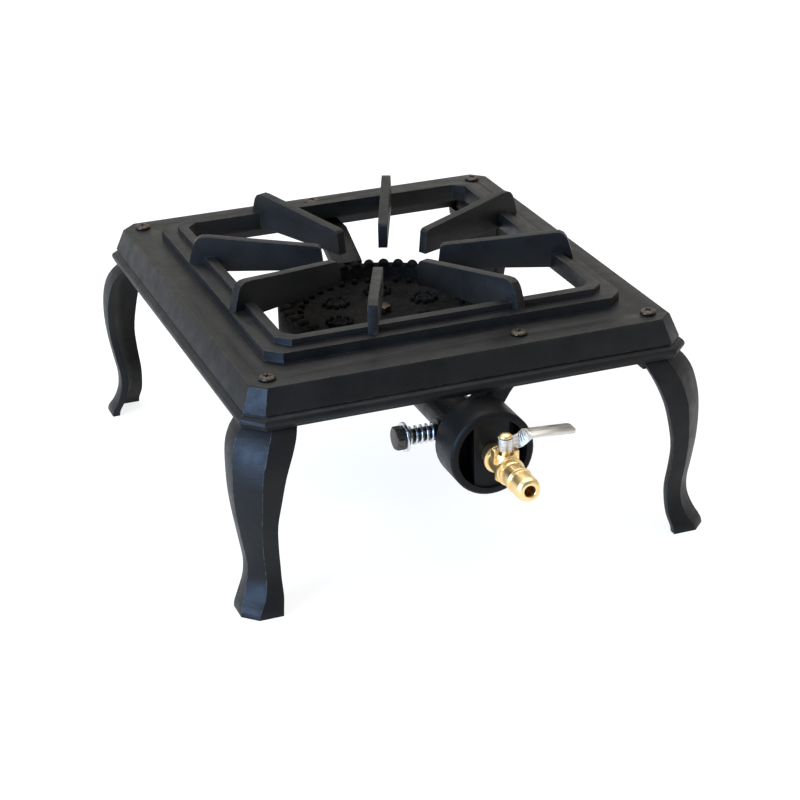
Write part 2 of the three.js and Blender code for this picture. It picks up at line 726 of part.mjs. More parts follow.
// A flat lever that leaves its hub standing on edge and gives a quarter turn to lie flat.
function valveLever() {
  const { tip, hubRadius, hubBottom, hubTop, thick } = LEVER;
  const twistStart = 5;
  const twistEnd = 16;
  const rootHeight = 100.45;
  const flatHeight = 104;
  const tipDroop = 1.8;
  const section = (x, halfWidth) => {
    const turn = THREE.MathUtils.smootherstep(x, twistStart, twistEnd);
    const angle = turn * Math.PI / 2;
    const droop = tipDroop * THREE.MathUtils.clamp((x - twistEnd) / (tip - twistEnd), 0, 1);
    const height = THREE.MathUtils.lerp(rootHeight, flatHeight, turn) - droop;
    const points = [[-1, -1], [1, -1], [1, 1], [-1, 1]].map(([a, b]) => (
      new THREE.Vector2(a * halfWidth, b * thick / 2)
    ));
    return {
      points,
      place: (point) => new THREE.Vector3(
        x,
        VALVE.stemY + point.x * Math.sin(angle) - point.y * Math.cos(angle),
        height + point.x * Math.cos(angle) + point.y * Math.sin(angle),
      ),
    };
  };
  const sections = [section(2.5, 3.4)];
  const steps = 12;
  for (let i = 0; i <= steps; i += 1) {
    const x = THREE.MathUtils.lerp(twistStart - 1, twistEnd + 1, i / steps);
    sections.push(section(x, THREE.MathUtils.lerp(3.8, 5.4, i / steps)));
  }
  sections.push(section(tip - 2, 5.5));
  sections.push(section(tip - 0.6, 4.8));
  sections.push(section(tip, 3.6));
  const hub = rod(hubRadius, hubBottom, hubTop, 24).translate([0, VALVE.stemY, 0]);
  const hole = rod(3 + GAP, hubBottom - 1, hubTop + 1).translate([0, VALVE.stemY, 0]);
  return cut(union([loft(sections), hub]), [hole]);
}

function hoseTail() {
  const face = VALVE.flange2 - GAP;
  const end = NOSE_END;
  const solid = turnedAlongY([
    [0, face + 1.7], [4, face + 1.7], [4, face], [7.4, face], [7.4, face - 2], [7, face - 2.6],
    [7.9, face - 11], [7.9, face - 12.4], [6.9, face - 13], [7.5, face - 18], [7.3, end + 3],
    [6.4, end + 0.9], [5.2, end], [0, end],
  ], 0, TUBE.axisHeight, 28);
  return cut(solid, [rodAlongY(2.8, end - 1, face + 3, 0, TUBE.axisHeight, 16)]);
}

// The brass injector screwed into the valve's inner end, blowing gas into the mixing tube.
function gasJet() {
  const back = VALVE.spigotEnd;
  const solid = turnedAlongY([
    [0, back - 7], [3, back - 7], [3, back + GAP], [4.6, back + GAP], [4.6, back + 4],
    [2.6, back + 6.4], [0, back + 6.4],
  ], 0, TUBE.axisHeight, 20);
  const bore = turnedAlongY([
    [0, back - 8], [1.6, back - 8], [1.6, back + 4], [0.5, back + 5], [0.5, back + 7],
    [0, back + 7],
  ], 0, TUBE.axisHeight, 12);
  return cut(solid, [bore]);
}

addPiece('valve_body', valveBody(), COLOURS.brass);
addPiece('valve_plug', valvePlug(), COLOURS.brass);
addPiece('valve_plug_cap', plugCap(), COLOURS.brass);
addPiece('valve_lever', valveLever(), COLOURS.nickel);
addPiece('hose_tail', hoseTail(), COLOURS.brass);
addPiece('gas_jet', gasJet(), COLOURS.brass);

for (const piece of stand.children) piece.geometry.translate(0, FRAME_CENTRE_Y, 0);

export default stand;
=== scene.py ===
import math

import bmesh
import bpy
from mathutils import Matrix, Quaternion, Vector


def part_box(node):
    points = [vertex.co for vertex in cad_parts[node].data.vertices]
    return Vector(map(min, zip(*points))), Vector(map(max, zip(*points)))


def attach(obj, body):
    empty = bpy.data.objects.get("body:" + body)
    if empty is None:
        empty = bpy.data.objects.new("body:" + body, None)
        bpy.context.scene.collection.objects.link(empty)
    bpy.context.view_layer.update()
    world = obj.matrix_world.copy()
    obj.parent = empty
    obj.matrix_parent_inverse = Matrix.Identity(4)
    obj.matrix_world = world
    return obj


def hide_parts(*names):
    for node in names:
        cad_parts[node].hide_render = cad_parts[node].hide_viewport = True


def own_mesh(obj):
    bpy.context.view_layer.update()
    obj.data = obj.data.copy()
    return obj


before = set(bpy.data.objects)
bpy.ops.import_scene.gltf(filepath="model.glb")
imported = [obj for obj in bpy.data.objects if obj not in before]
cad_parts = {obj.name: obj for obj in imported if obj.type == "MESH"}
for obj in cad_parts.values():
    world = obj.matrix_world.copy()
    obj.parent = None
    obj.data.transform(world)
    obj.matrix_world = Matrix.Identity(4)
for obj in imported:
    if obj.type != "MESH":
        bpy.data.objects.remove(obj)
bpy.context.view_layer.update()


# ---------------------------------------------------------------- studio
# A white floor that glows a little, a wide soft box overhead, a blue window light from the left
# and a low fill. The room behind the stand is bright and warm, the room in front of it is dim.
# The camera stands a little left of the gas valve and looks down on the pot fingers.
bpy.context.scene.view_settings.view_transform = "Standard"

CAMERA_PLACE = Vector((-0.4433, -1.19465, 0.6359))
CAMERA_AIM = Vector((-0.0028, -0.00295, 0.0603))
CAMERA_ROLL = math.radians(-1.537)
CAMERA_LENS = 98.53

camera = bpy.data.objects.new("camera", bpy.data.cameras.new("camera"))
bpy.context.collection.objects.link(camera)
camera.data.lens = CAMERA_LENS
camera.data.sensor_width = 36
camera.data.clip_start = 0.01
facing = (CAMERA_AIM - CAMERA_PLACE).to_track_quat("-Z", "Y")
turn = facing @ Quaternion((0, 0, 1), CAMERA_ROLL)
camera.matrix_world = Matrix.LocRotScale(CAMERA_PLACE, turn, None)
bpy.context.scene.camera = camera

floor_mesh = bpy.data.meshes.new("floor")
floor_mesh.from_pydata([(-6, -6, 0), (6, -6, 0), (6, 6, 0), (-6, 6, 0)], [], [(0, 1, 2, 3)])
floor = bpy.data.objects.new("floor", floor_mesh)
bpy.context.collection.objects.link(floor)
floor_paper = bpy.data.materials.new("floor_paper")
floor_paper.use_nodes = True
paper_shader = floor_paper.node_tree.nodes["Principled BSDF"]
paper_shader.inputs["Base Color"].default_value = (0.26, 0.26, 0.26, 1)
paper_shader.inputs["Roughness"].default_value = 0.9
paper_shader.inputs["Specular IOR Level"].default_value = 0.0
paper_shader.inputs["Emission Color"].default_value = (1, 1, 1, 1)
paper_shader.inputs["Emission Strength"].default_value = 0.83
floor_mesh.materials.append(floor_paper)

room = bpy.data.worlds.new("studio")
bpy.context.scene.world = room
room.use_nodes = True
room_nodes = room.node_tree.nodes
room_links = room.node_tree.links
sky_direction = room_nodes.new("ShaderNodeTexCoord")
sky_split = room_nodes.new("ShaderNodeSeparateXYZ")
sky_range = room_nodes.new("ShaderNodeMapRange")
sky_range.inputs["From Min"].default_value = -1
sky_range.inputs["From Max"].default_value = 1
sky_range.inputs["To Min"].default_value = 0.19
sky_range.inputs["To Max"].default_value = 0.95
room_links.new(sky_direction.outputs["Generated"], sky_split.inputs[0])
room_links.new(sky_split.outputs["Y"], sky_range.inputs["Value"])
room_links.new(sky_range.outputs["Result"], room_nodes["Background"].inputs["Strength"])
sky_tint = room_nodes.new("ShaderNodeValToRGB")
sky_tint.color_ramp.elements[0].color = (0.80, 0.88, 1.0, 1)
sky_tint.color_ramp.elements[1].color = (1.0, 0.965, 0.90, 1)
room_links.new(sky_range.outputs["Result"], sky_tint.inputs["Fac"])
room_links.new(sky_tint.outputs["Color"], room_nodes["Background"].inputs["Color"])


def soft_box(name, place, aim, size, power, colour):
    """A square studio light that faces a point on the stand."""
    light = bpy.data.lights.new(name, "AREA")
    light.shape = "SQUARE"
    light.size = size
    light.energy = power
    light.color = colour
    holder = bpy.data.objects.new(name, light)
    bpy.context.collection.objects.link(holder)
    facing = (Vector(aim) - Vector(place)).to_track_quat("-Z", "Y")
    holder.matrix_world = Matrix.LocRotScale(Vector(place), facing, None)


soft_box("overhead", (0.3, 0.5, 2.2), (0, 0.03, 0), 2.2, 42, (1.0, 0.97, 0.92))
soft_box("window", (-1.95, -0.72, 0.85), (0, 0.03, 0.08), 1.2, 92, (0.36, 0.58, 1.0))
soft_box("fill", (1.6, -1.8, 0.8), (0, 0.03, 0.08), 0.8, 5, (1.0, 0.96, 0.9))


# ---------------------------------------------------------------- top frame
# One sand casting: flat plate, sloping skirt with a bead, stepped rim and the pot fingers.
# The iron is sprayed satin black. The rounded edges get a lighter paint with patches of bare iron:
# partly paint rubbed thin, partly a painted highlight along every edge.
IRON_ROUND_OVER = 0.0009


class Finish:
    """A node-built material: keeps its nodes in one place and links them by name."""

    def __init__(self, name):
        self.material = bpy.data.materials.new(name)
        self.material.use_nodes = True
        self.nodes = self.material.node_tree.nodes
        self.links = self.material.node_tree.links
        self.shader = self.nodes["Principled BSDF"]
        self.place = self.nodes.new("ShaderNodeTexCoord").outputs["Object"]

    def stretched(self, scale):
        mapping = self.nodes.new("ShaderNodeMapping")
        mapping.inputs["Scale"].default_value = scale
        self.links.new(self.place, mapping.inputs["Vector"])
        return mapping.outputs["Vector"]

    def noise(self, scale, detail=3, roughness=0.5, vector=None):
        texture = self.nodes.new("ShaderNodeTexNoise")
        texture.inputs["Scale"].default_value = scale
        texture.inputs["Detail"].default_value = detail
        texture.inputs["Roughness"].default_value = roughness
        self.links.new(vector or self.place, texture.inputs["Vector"])
        return texture.outputs["Fac"]

    def ramp(self, value, low, high, start=0.35, end=0.65):
        ramp = self.nodes.new("ShaderNodeValToRGB")
        ramp.color_ramp.elements[0].position = start
        ramp.color_ramp.elements[1].position = end
        ramp.color_ramp.elements[0].color = (*low, 1)
        ramp.color_ramp.elements[1].color = (*high, 1)
        self.links.new(value, ramp.inputs["Fac"])
        return ramp.outputs["Color"]

    def spread(self, value, low, high, start=0.3, end=0.7):
        spread = self.nodes.new("ShaderNodeMapRange")
        spread.inputs["From Min"].default_value = start
        spread.inputs["From Max"].default_value = end
        spread.inputs["To Min"].default_value = low
        spread.inputs["To Max"].default_value = high
        self.links.new(value, spread.inputs["Value"])
        return spread.outputs["Result"]

    def mix(self, factor, first, second):
        mix = self.nodes.new("ShaderNodeMix")
        mix.data_type = "RGBA"
        self.links.new(factor, mix.inputs["Factor"])
        self.links.new(first, mix.inputs["A"])
        self.links.new(second, mix.inputs["B"])
        return mix.outputs["Result"]

    def bump(self, height, depth, strength, below=None):
        bump = self.nodes.new("ShaderNodeBump")
        bump.inputs["Distance"].default_value = depth
        bump.inputs["Strength"].default_value = strength
        self.links.new(height, bump.inputs["Height"])
        if below is not None:
            self.links.new(below, bump.inputs["Normal"])
        return bump.outputs["Normal"]

    def wear(self, value, name):
        self.links.new(value, self.shader.inputs[name])


def painted_iron(name, dark, light, rubbed=0.0, gloss_range=(0.38, 0.54), shine=0.2):
    """Satin black paint over sand-cast iron, with some bare metal where it is rubbed."""
    finish = Finish(name)
    finish.shader.inputs["Specular IOR Level"].default_value = shine
    patches = finish.noise(38, 5, 0.6)
    colour = finish.ramp(patches, dark, light)
    gloss = finish.spread(finish.noise(90, 4, 0.6), *gloss_range)
    if rubbed:
        bare = finish.spread(finish.noise(260, 5, 0.65), 0.0, rubbed, 0.46, 0.60)
        iron = finish.ramp(finish.noise(500, 3), (0.08, 0.068, 0.054), (0.17, 0.148, 0.12))
        colour = finish.mix(bare, colour, iron)
        finish.wear(bare, "Metallic")
    waves = finish.bump(finish.noise(55, 3, 0.5), 0.0009, 0.35)
    sand = finish.bump(finish.noise(420, 4, 0.6), 0.00032, 0.45, waves)
    grain = finish.bump(finish.noise(1500, 3, 0.55), 0.00012, 0.5, sand)
    finish.wear(colour, "Base Color")
    finish.wear(gloss, "Roughness")
    finish.wear(grain, "Normal")
    return finish.material


def finished_copy(node, name, round_over, finishes, segments=3, body="stand"):
    """A joined-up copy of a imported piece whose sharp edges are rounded, standing for it."""
    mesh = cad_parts[node].data.copy()
    mesh.name = name
    work = bmesh.new()
    work.from_mesh(mesh)
    bmesh.ops.remove_doubles(work, verts=work.verts, dist=2e-6)
    bmesh.ops.dissolve_limit(
        work, angle_limit=math.radians(0.5), verts=work.verts, edges=work.edges
    )
    for face in work.faces:
        face.smooth = True
        face.material_index = 0
    work.to_mesh(mesh)
    work.free()
    mesh.materials.clear()
    for finish in finishes:
        mesh.materials.append(finish)
    piece = bpy.data.objects.new(name, mesh)
    bpy.context.collection.objects.link(piece)
    edges = piece.modifiers.new("rounded_edges", "BEVEL")
    edges.width = round_over
    edges.segments = segments
    edges.limit_method = "ANGLE"
    edges.angle_limit = math.radians(27)
    edges.material = len(finishes) - 1
    edges.harden_normals = True
    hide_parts(node)
    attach(piece, body)
    return piece


iron_paint = painted_iron("iron_paint", (0.0048, 0.0046, 0.0042), (0.0100, 0.0094, 0.0084))
# The edge paint goes on every bevel strip. It is lighter than the plain paint: partly rubbed-thin
# wear, partly a painted highlight on the edges.
iron_edge_wear_and_highlight = painted_iron("iron_edge_wear_and_highlight", (0.009, 0.0088, 0.0082), (0.022, 0.0205, 0.018), 0.6)
top_frame = finished_copy(
    "top_frame", "top_frame_casting", IRON_ROUND_OVER, [iron_paint, iron_edge_wear_and_highlight]
)


# ---------------------------------------------------------------- legs
# Four cabriole castings, L-shaped in section and hollow behind, with a chamfered front arris.
# Each stands under the skirt and is drawn up to the plate by one screw.
for corner in ("front_left", "front_right", "back_left", "back_right"):
    # The legs' bevelled edges carry the same lighter edge paint: partly wear, partly a painted
    # highlight.
    leg = finished_copy(
        f"leg_{corner}", f"leg_casting_{corner}", 0.0012, [iron_paint, iron_edge_wear_and_highlight], 3
    )


# ---------------------------------------------------------------- plate screws
# Pan-head machine screws with a cross recess, antique-plated, through the plate at each corner
# and at the two burner lugs. They were run down by hand, so their recesses face different ways.
SCREW_HEAD_RADIUS = 0.0050
SCREW_HEAD_HEIGHT = 0.0024
SCREW_SHANK_RADIUS = 0.0025
PLATE_TOP = 0.137


def linked(obj):
    bpy.context.collection.objects.link(obj)
    return obj


def turned_mesh(name, outline, steps=48):
    """A turned solid about Z from (radius, height) pairs that start and end on the axis."""
    work = bmesh.new()
    rings = []
    for radius, height in outline:
        if radius == 0:
            rings.append([work.verts.new((0, 0, height))])
            continue
        angles = (2 * math.pi * i / steps for i in range(steps))
        rings.append([
            work.verts.new((radius * math.cos(a), radius * math.sin(a), height)) for a in angles
        ])
    for lower, upper in zip(rings, rings[1:]):
        for i in range(steps):
            j = (i + 1) % steps
            corners = [lower[i % len(lower)], lower[j % len(lower)]]
            corners += [upper[j % len(upper)], upper[i % len(upper)]]
            unique = list(dict.fromkeys(corners))
            if len(unique) > 2:
                work.faces.new(unique)
    bmesh.ops.recalc_face_normals(work, faces=work.faces)
    for face in work.faces:
        face.smooth = True
    mesh = bpy.data.meshes.new(name)
    work.to_mesh(mesh)
    work.free()
    return mesh


def screw_unit(name, reach):
    """One screw with its plate-side face at z = 0 and a tapered cross recess."""
    head, shank = SCREW_HEAD_RADIUS, SCREW_SHANK_RADIUS
    outline = [
        (0, -reach), (shank * 0.7, -reach), (shank, -reach + shank * 0.3), (shank, 0.0003),
        (head * 0.96, 0.0003), (head, 0.0006),
    ]
    for step in range(7):
        angle = math.radians(90 * step / 6)
        radius = head * math.cos(angle) ** 0.55 if step < 6 else 0
        outline.append((radius, 0.0010 + (SCREW_HEAD_HEIGHT - 0.0010) * math.sin(angle)))
    unit = linked(bpy.data.objects.new(name, turned_mesh(name, outline, 40)))
    cutter = bmesh.new()
    for turn_by in (0, math.pi / 2):
        made = bmesh.ops.create_cube(cutter, size=1)["verts"]
        for vert in made:
            top = vert.co.z > 0
            vert.co.x *= 0.0056 if top else 0.0030
            vert.co.y *= 0.0013 if top else 0.0009
            vert.co.z = SCREW_HEAD_HEIGHT + (0.0004 if top else -0.0016)
        bmesh.ops.rotate(cutter, verts=made, matrix=Matrix.Rotation(turn_by, 3, "Z"))
    cross_mesh = bpy.data.meshes.new("cross")
    cutter.to_mesh(cross_mesh)
    cutter.free()
    cross = linked(bpy.data.objects.new("cross", cross_mesh))
    recess = unit.modifiers.new("recess", "BOOLEAN")
    recess.object = cross
    recess.solver = "EXACT"
    recess.use_self = True
    baked = bpy.data.meshes.new_from_object(unit.evaluated_get(fresh_graph()))
    unit.modifiers.clear()
    unit.data = baked
    bpy.data.objects.remove(cross)
    return unit


def fresh_graph():
    bpy.context.view_layer.update()
    return bpy.context.evaluated_depsgraph_get()


def new_tree(name, sizes):
    """A geometry tree with named inputs: a mesh, then (name, socket type, default) sizes."""
    tree = bpy.data.node_groups.new(name, "GeometryNodeTree")
    tree.interface.new_socket("Geometry", in_out="INPUT", socket_type="NodeSocketGeometry")
    for label, kind, default in sizes:
        socket = tree.interface.new_socket(label, in_out="INPUT", socket_type=kind)
        if default is not None:
            socket.default_value = default
    tree.interface.new_socket("Geometry", in_out="OUTPUT", socket_type="NodeSocketGeometry")
    source = tree.nodes.new("NodeGroupInput")
    result = tree.nodes.new("NodeGroupOutput")
    return tree, source, result


def run_tree(base, tree, values):
    """Adds the tree to a piece and sets its inputs by their identifiers."""
    modifier = base.modifiers.new(tree.name, "NODES")
    modifier.node_group = tree
    for item in tree.interface.items_tree:
        if item.item_type == "SOCKET" and item.in_out == "INPUT" and item.name in values:
            modifier[item.identifier] = values[item.name]


def baked(base, name, body, slot_name, *nodes):
    """The tree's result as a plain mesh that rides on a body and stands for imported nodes."""
    mesh = bpy.data.meshes.new_from_object(base.evaluated_get(fresh_graph()))
    mesh.name = name
    base.modifiers.clear()
    piece = linked(bpy.data.objects.new(name, mesh))
    bpy.data.objects.remove(base)
    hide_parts(*nodes)
    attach(piece, body)
    return piece


def set_on_points_tree():
    """Sets one unit on every point of a mesh, each turned about Z by its own amount."""
    tree, source, result = new_tree("set_on_points", [
        ("Unit", "NodeSocketObject", None),
        ("Finish", "NodeSocketMaterial", None),
        ("Most turn", "NodeSocketFloat", 3.14),
        ("Seed", "NodeSocketInt", 4),
    ])
    nodes, links = tree.nodes, tree.links
    unit = nodes.new("GeometryNodeObjectInfo")
    chance = nodes.new("FunctionNodeRandomValue")
    chance.data_type = "FLOAT"
    turn_by = nodes.new("ShaderNodeCombineXYZ")
    place = nodes.new("GeometryNodeInstanceOnPoints")
    real = nodes.new("GeometryNodeRealizeInstances")
    coat = nodes.new("GeometryNodeSetMaterial")
    links.new(source.outputs["Unit"], unit.inputs["Object"])
    links.new(source.outputs["Most turn"], chance.inputs[3])
    links.new(source.outputs["Seed"], chance.inputs["Seed"])
    links.new(chance.outputs[1], turn_by.inputs["Z"])
    links.new(source.outputs["Geometry"], place.inputs["Points"])
    links.new(unit.outputs["Geometry"], place.inputs["Instance"])
    links.new(turn_by.outputs[0], place.inputs["Rotation"])
    links.new(place.outputs["Instances"], real.inputs["Geometry"])
    links.new(real.outputs["Geometry"], coat.inputs["Geometry"])
    links.new(source.outputs["Finish"], coat.inputs["Material"])
    links.new(coat.outputs["Geometry"], result.inputs["Geometry"])
    return tree


def points_object(name, places):
    mesh = bpy.data.meshes.new(name)
    mesh.from_pydata([tuple(place) for place in places], [], [])
    return linked(bpy.data.objects.new(name, mesh))


def middle_of(node):
    low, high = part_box(node)
    return (low + high) / 2


def antique_plate(name, dark, light):
    """Brownish antique plating, rubbed brighter in small patches."""
    finish = Finish(name)
    finish.wear(finish.ramp(finish.noise(900, 4, 0.6), dark, light), "Base Color")
    finish.wear(finish.spread(finish.noise(1300, 3), 0.34, 0.55), "Roughness")
    finish.wear(finish.bump(finish.noise(2400, 3), 0.00006, 0.5), "Normal")
    finish.shader.inputs["Metallic"].default_value = 0.9
    return finish.material


screw_plate = antique_plate("screw_plate", (0.024, 0.019, 0.015), (0.105, 0.08, 0.058))
on_points = set_on_points_tree()
CORNERS = ("front_left", "front_right", "back_left", "back_right")
leg_screw_nodes = [f"leg_screw_{corner}" for corner in CORNERS]
lug_screw_nodes = ["burner_screw_front", "burner_screw_back"]
for label, nodes_here in (("leg_screws", leg_screw_nodes), ("burner_lug_screws", lug_screw_nodes)):
    reach = PLATE_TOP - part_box(nodes_here[0])[0].z
    unit = screw_unit(f"{label}_unit", reach)
    places = [middle_of(node).to_2d().to_3d() + Vector((0, 0, PLATE_TOP)) for node in nodes_here]
    base = points_object(f"{label}_points", places)
    run_tree(base, on_points, {"Unit": unit, "Finish": screw_plate, "Most turn": 1.5})
    baked(base, label, "stand", "antique_steel", *nodes_here)
    bpy.data.objects.remove(unit)


# ---------------------------------------------------------------- leg nuts
# Plain zinc hexagon nuts drawn up under the legs' pads, out of sight from above.
def plated_zinc(name, dark, light, low=0.22, high=0.38):
    """Bright zinc with the faint cloudiness and fine scratches of barrel plating."""
    finish = Finish(name)
    finish.wear(finish.ramp(finish.noise(500, 4, 0.6), dark, light), "Base Color")
    finish.wear(finish.spread(finish.noise(1100, 3), low, high), "Roughness")
    finish.wear(finish.bump(finish.noise(1900, 4), 0.00004, 0.4), "Normal")
    finish.shader.inputs["Metallic"].default_value = 1.0
    return finish.material


bright_zinc = plated_zinc("bright_zinc", (0.55, 0.57, 0.60), (0.82, 0.85, 0.88))
for corner in CORNERS:
    nut = finished_copy(f"leg_nut_{corner}", f"nut_{corner}", 0.00025, [bright_zinc], 2)


# ---------------------------------------------------------------- burner body
# One casting: the gas bowl, the mixing tube, the bell with its upright bridge, the air screw's
# boss, and the two arms that hang it from the frame. Black like the frame, a little rougher.
body_paint = painted_iron("burner_paint", (0.003, 0.003, 0.003), (0.006, 0.006, 0.0056), shine=0.15)
body_edges = painted_iron("burner_edges", (0.006, 0.0062, 0.0064), (0.013, 0.013, 0.0125), 0.25)
burner_body = finished_copy("burner_body", "burner_body_casting", 0.0009, [body_paint, body_edges])


# ---------------------------------------------------------------- burner head
# The cast head that drops into the bowl: a ring wall crowned with rounded teeth that leave a
# flame gap between each pair, a port plate, and a row of studs and six port rosettes on it.
head_low, head_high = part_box("burner_head")
head_centre = (head_low + head_high) / 2
HEAD_RADIUS = 0.067
HEAD_INNER = 0.059
HEAD_SHOULDER = 0.116
HEAD_SPLIT = 0.0973
HEAD_PLATE_TOP = 0.1075
HEAD_PLATE_BOTTOM = 0.104
SPIGOT_RADIUS = 0.0617
TOOTH_RADIUS = 0.0036


def ring_tree():
    """Sets a unit round a circle, each facing outwards and a touch uneven, on top of a mesh."""
    tree, source, result = new_tree("ring_of_castings", [
        ("Unit", "NodeSocketObject", None),
        ("Finish", "NodeSocketMaterial", None),
        ("Count", "NodeSocketInt", 12),
        ("Circle", "NodeSocketFloat", 0.05),
        ("Centre", "NodeSocketVector", None),
        ("Start angle", "NodeSocketFloat", 0.0),
        ("Least size", "NodeSocketFloat", 0.96),
        ("Seed", "NodeSocketInt", 2),
    ])
    nodes, links = tree.nodes, tree.links
    circle = nodes.new("GeometryNodeMeshCircle")
    start = nodes.new("ShaderNodeCombineXYZ")
    swing = nodes.new("GeometryNodeTransform")
    where = nodes.new("GeometryNodeInputPosition")
    face_out = nodes.new("FunctionNodeAlignRotationToVector")
    face_out.axis = "X"
    chance = nodes.new("FunctionNodeRandomValue")
    chance.data_type = "FLOAT"
    chance.inputs[3].default_value = 1.0
    unit = nodes.new("GeometryNodeObjectInfo")
    place = nodes.new("GeometryNodeInstanceOnPoints")
    lift = nodes.new("GeometryNodeTransform")
    real = nodes.new("GeometryNodeRealizeInstances")
    join = nodes.new("GeometryNodeJoinGeometry")
    coat = nodes.new("GeometryNodeSetMaterial")
    links.new(source.outputs["Count"], circle.inputs["Vertices"])
    links.new(source.outputs["Circle"], circle.inputs["Radius"])
    links.new(source.outputs["Start angle"], start.inputs["Z"])
    links.new(start.outputs[0], swing.inputs["Rotation"])
    links.new(circle.outputs["Mesh"], swing.inputs["Geometry"])
    links.new(where.outputs["Position"], face_out.inputs["Vector"])
    links.new(source.outputs["Least size"], chance.inputs[2])
    links.new(source.outputs["Seed"], chance.inputs["Seed"])
    links.new(source.outputs["Unit"], unit.inputs["Object"])
    links.new(swing.outputs["Geometry"], place.inputs["Points"])
    links.new(unit.outputs["Geometry"], place.inputs["Instance"])
    links.new(face_out.outputs["Rotation"], place.inputs["Rotation"])
    links.new(chance.outputs[1], place.inputs["Scale"])
    links.new(place.outputs["Instances"], lift.inputs["Geometry"])
    links.new(source.outputs["Centre"], lift.inputs["Translation"])
    links.new(lift.outputs["Geometry"], real.inputs["Geometry"])
    links.new(source.outputs["Geometry"], join.inputs["Geometry"])
    links.new(real.outputs["Geometry"], join.inputs["Geometry"])
    links.new(join.outputs["Geometry"], coat.inputs["Geometry"])
    links.new(source.outputs["Finish"], coat.inputs["Material"])
    links.new(coat.outputs["Geometry"], result.inputs["Geometry"])
    return tree


def tooth_unit():
    """One crown tooth: a round-backed bar that lies along the radius, with softened ends."""
    half = (HEAD_RADIUS - HEAD_INNER) / 2 - 0.0001
    soft = 0.0009
    outline = [
        (0, -half), (TOOTH_RADIUS - soft, -half), (TOOTH_RADIUS - soft * 0.3, -half + soft * 0.3),
        (TOOTH_RADIUS, -half + soft), (TOOTH_RADIUS, half - soft),
        (TOOTH_RADIUS - soft * 0.3, half - soft * 0.3), (TOOTH_RADIUS - soft, half), (0, half),
    ]
    mesh = turned_mesh("tooth", outline, 20)
    mesh.transform(Matrix.Rotation(math.pi / 2, 4, "Y"))
    return linked(bpy.data.objects.new("tooth", mesh))


def stud_unit():
    height, radius = 0.0034, 0.0020
    outline = [
        (0, -0.001), (radius, -0.001), (radius * 0.96, height * 0.55),
        (radius * 0.7, height * 0.9), (0, height),
    ]
    return linked(bpy.data.objects.new("stud", turned_mesh("stud", outline, 12)))


def rosette_unit(tree, bead):
    """A port with a low rounded lip inside a ring of nine cast beads."""
    bead_circle = 0.0076
    outline = [
        (0, -0.001), (0.0058, -0.001), (0.0056, 0.0012), (0.0050, 0.0018), (0.0042, 0.0020),
        (0.0036, 0.0016), (0.0032, 0.0004), (0, 0.0004),
    ]
    rosette = linked(bpy.data.objects.new("rosette", turned_mesh("rosette", outline, 28)))
    run_tree(rosette, tree, {"Unit": bead, "Count": 9, "Circle": bead_circle, "Least size": 0.92})
    return rosette


dish_outline = [
    (0, HEAD_PLATE_BOTTOM), (SPIGOT_RADIUS - 0.0035, HEAD_PLATE_BOTTOM),
    (SPIGOT_RADIUS - 0.0035, HEAD_SPLIT - 0.0033), (SPIGOT_RADIUS, HEAD_SPLIT - 0.0033),
    (SPIGOT_RADIUS, HEAD_SPLIT), (HEAD_RADIUS - 0.0008, HEAD_SPLIT),
    (HEAD_RADIUS, HEAD_SPLIT + 0.0008), (HEAD_RADIUS, HEAD_SHOULDER - 0.0006),
    (HEAD_RADIUS - 0.0006, HEAD_SHOULDER), (HEAD_INNER + 0.0006, HEAD_SHOULDER),
    (HEAD_INNER, HEAD_SHOULDER - 0.0006), (HEAD_INNER, HEAD_PLATE_TOP + 0.0012),
    (HEAD_INNER - 0.0012, HEAD_PLATE_TOP), (0, HEAD_PLATE_TOP),
]
dish_mesh = turned_mesh("dish", dish_outline, 96)
dish_mesh.transform(Matrix.Translation((head_centre.x, head_centre.y, 0)))
dish = linked(bpy.data.objects.new("dish", dish_mesh))
rings = ring_tree()
head_paint = painted_iron(
    "head_paint", (0.0022, 0.0022, 0.0022), (0.0065, 0.006, 0.0054), 0.05, (0.62, 0.80), 0.05
)
crown_centre = Vector((head_centre.x, head_centre.y, head_high.z - TOOTH_RADIUS))
plate_centre = Vector((head_centre.x, head_centre.y, HEAD_PLATE_TOP))
TOOTH_COUNT = 42
ROSETTE_COUNT = 6
ROSETTE_CIRCLE = 0.033
ROSETTE_START = math.radians(15)
STUD_COUNT = 36
STUD_CIRCLE = 0.0525
stud = stud_unit()
head_units = [
    (tooth_unit(), TOOTH_COUNT, (HEAD_RADIUS + HEAD_INNER) / 2, crown_centre, 0.0),
    (rosette_unit(rings, stud), ROSETTE_COUNT, ROSETTE_CIRCLE, plate_centre, ROSETTE_START),
    (stud, STUD_COUNT, STUD_CIRCLE, plate_centre, 0.0),
]
for unit, count, circle, centre, start in head_units:
    run_tree(dish, rings, {
        "Unit": unit, "Finish": head_paint, "Count": count, "Circle": circle,
        "Centre": centre, "Start angle": start,
    })
burner_head = baked(dish, "burner_head_casting", "stand", "painted_iron", "burner_head")
for unit, *_ in head_units:
    bpy.data.objects.remove(unit)

head_screw = finished_copy(
    "burner_head_screw", "head_screw", 0.0004, [screw_plate], 2
)


# ---------------------------------------------------------------- air screw
# An M8 hexagon bolt with a dull head, a bright washer under it and a zinc coil spring that
# keeps it from working loose in the mixing tube's boss.
AIR_SPRING_WIRE = 0.0008
AIR_SPRING_TURNS = 5


